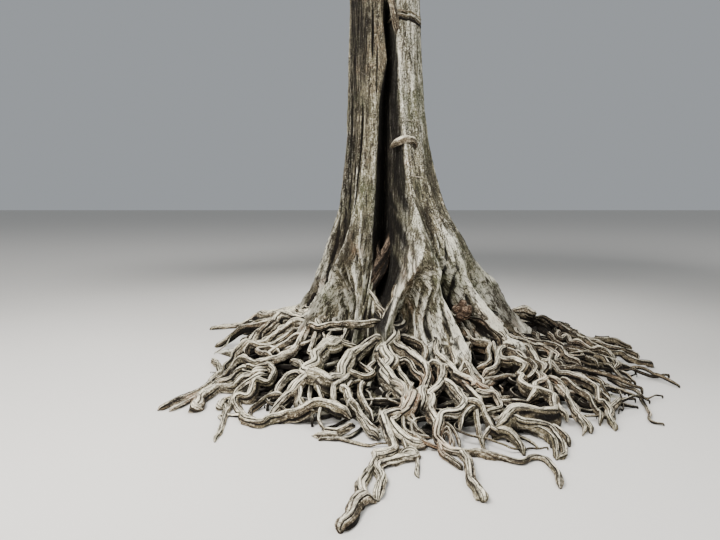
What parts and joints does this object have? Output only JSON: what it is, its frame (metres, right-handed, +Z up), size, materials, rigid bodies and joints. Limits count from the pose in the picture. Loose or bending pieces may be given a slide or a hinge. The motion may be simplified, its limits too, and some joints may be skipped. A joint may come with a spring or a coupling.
{
  "type": "banyan tree",
  "caption": "Whole banyan tree with a fluted, cleft trunk, a spreading tangle of surface roots, forked boughs and a broad leafy crown.",
  "frame": {"origin": "middle of the flat cut under the trunk, at ground level", "axes": "+Z up; the open cleft of the trunk faces -Y, towards the viewer of the picture, and +X is to the viewer's right"},
  "size_m": [12.2167, 12.4783, 13.3593],
  "materials": {
    "bark": "matte",
    "root_bark": "matte",
    "leaves": "satin"
  },
  "bodies": {
    "root": {"bough_1": "bark", "bough_2": "bark", "bough_3": "bark", "bough_4": "bark", "bough_leader": "bark", "foliage_low_1": "leaves", "foliage_low_2": "leaves", "foliage_low_3": "leaves", "foliage_low_4": "leaves", "foliage_low_5": "leaves", "foliage_low_6": "leaves", "foliage_mid_1": "leaves", "foliage_mid_2": "leaves", "foliage_mid_3": "leaves", "foliage_mid_4": "leaves", "foliage_top_1": "leaves", "foliage_top_2": "leaves", "foliage_top_3": "leaves", "limb_low_1": "bark", "limb_low_2": "bark", "limb_low_3": "bark", "limb_low_4": "bark", "limb_low_5": "bark", "limb_low_6": "bark", "limb_mid_1": "bark", "limb_mid_2": "bark", "limb_mid_3": "bark", "limb_mid_4": "bark", "limb_top_1": "bark", "limb_top_2": "bark", "limb_top_3": "bark", "root_back_1": "root_bark", "root_back_2": "root_bark", "root_back_3": "root_bark", "root_back_4": "root_bark", "root_back_5": "root_bark", "root_back_6": "root_bark", "root_front_inner": "root_bark", "root_front_knee": "root_bark", "root_front_right_long": "root_bark", "root_front_snake": "root_bark", "root_left_back": "root_bark", "root_left_broad": "root_bark", "root_left_cross": "root_bark", "root_left_edge": "root_bark", "root_left_hook": "root_bark", "root_left_loop": "root_bark", "root_left_mass": "root_bark", "root_left_top": "root_bark", "root_right_edge": "root_bark", "root_right_long": "root_bark", "root_right_low": "root_bark", "root_right_one": "root_bark", "root_right_plank": "root_bark", "root_right_ribbon": "root_bark", "trunk": "bark"}
  },
  "joints": []
}
